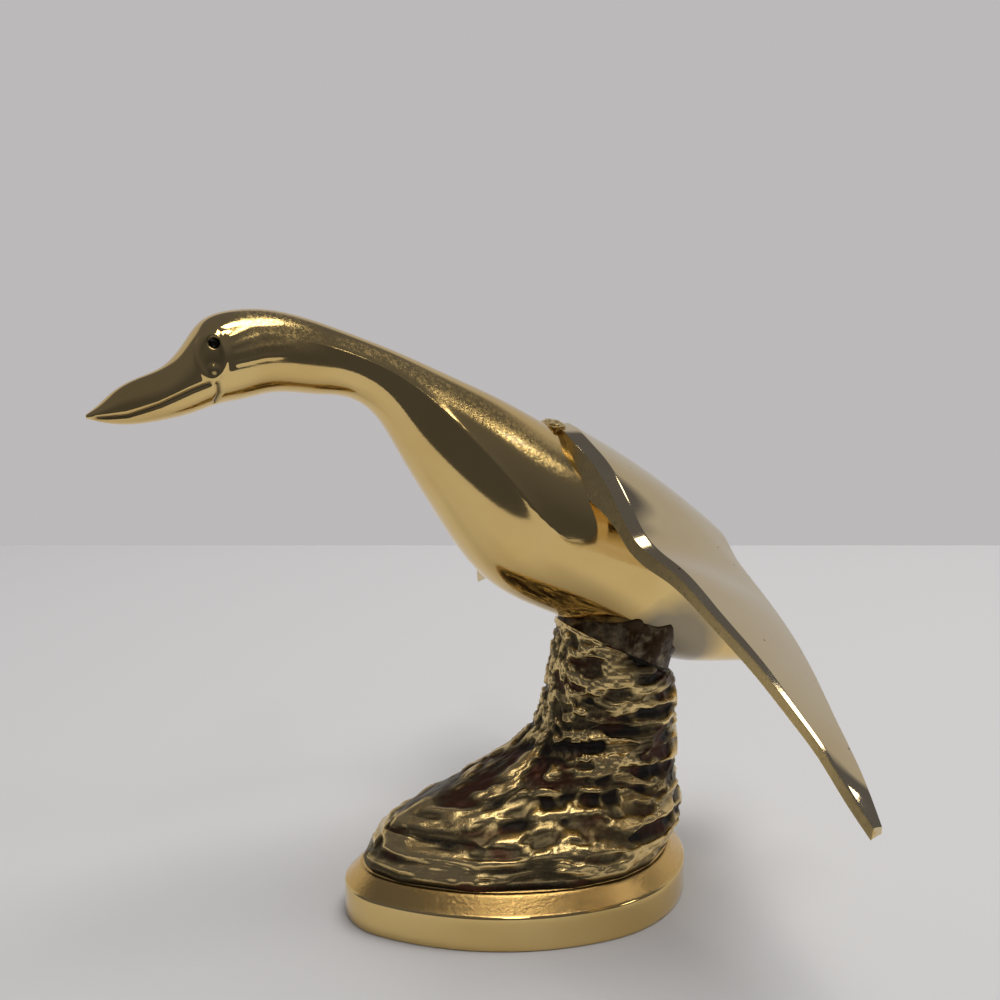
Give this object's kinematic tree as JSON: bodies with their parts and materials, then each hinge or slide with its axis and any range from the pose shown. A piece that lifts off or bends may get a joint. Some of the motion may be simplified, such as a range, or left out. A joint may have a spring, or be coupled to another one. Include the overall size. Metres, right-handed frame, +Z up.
{
  "type": "brass duck figurine",
  "caption": "Polished brass duck coming down with arched, drooping wings, standing on a textured rock stump with a banded foot; a shelf ornament.",
  "frame": {"origin": "middle of the flat rim under the base, on the surface it stands on", "axes": "+Z up, -X to the bill, +X to the tail, -Y to the bird's left wing, +Y to its right wing"},
  "size_m": [0.1576, 0.1808, 0.1352],
  "materials": {
    "rock_brass": "cast, darkened in the hollows, ridges polished",
    "bird_brass": "polished",
    "wing_brass": "polished, filed along the front edge",
    "soft_solder": "dull grey solder, wiped",
    "braze_metal": "rough, as run"
  },
  "bodies": {
    "root": {"rock_base": "rock_brass", "bird_body": "bird_brass", "left_wing": "wing_brass", "right_wing": "wing_brass", "post_solder": "soft_solder", "left_wing_braze": "braze_metal", "right_wing_braze": "braze_metal", "nape_braze": "braze_metal"}
  },
  "joints": []
}
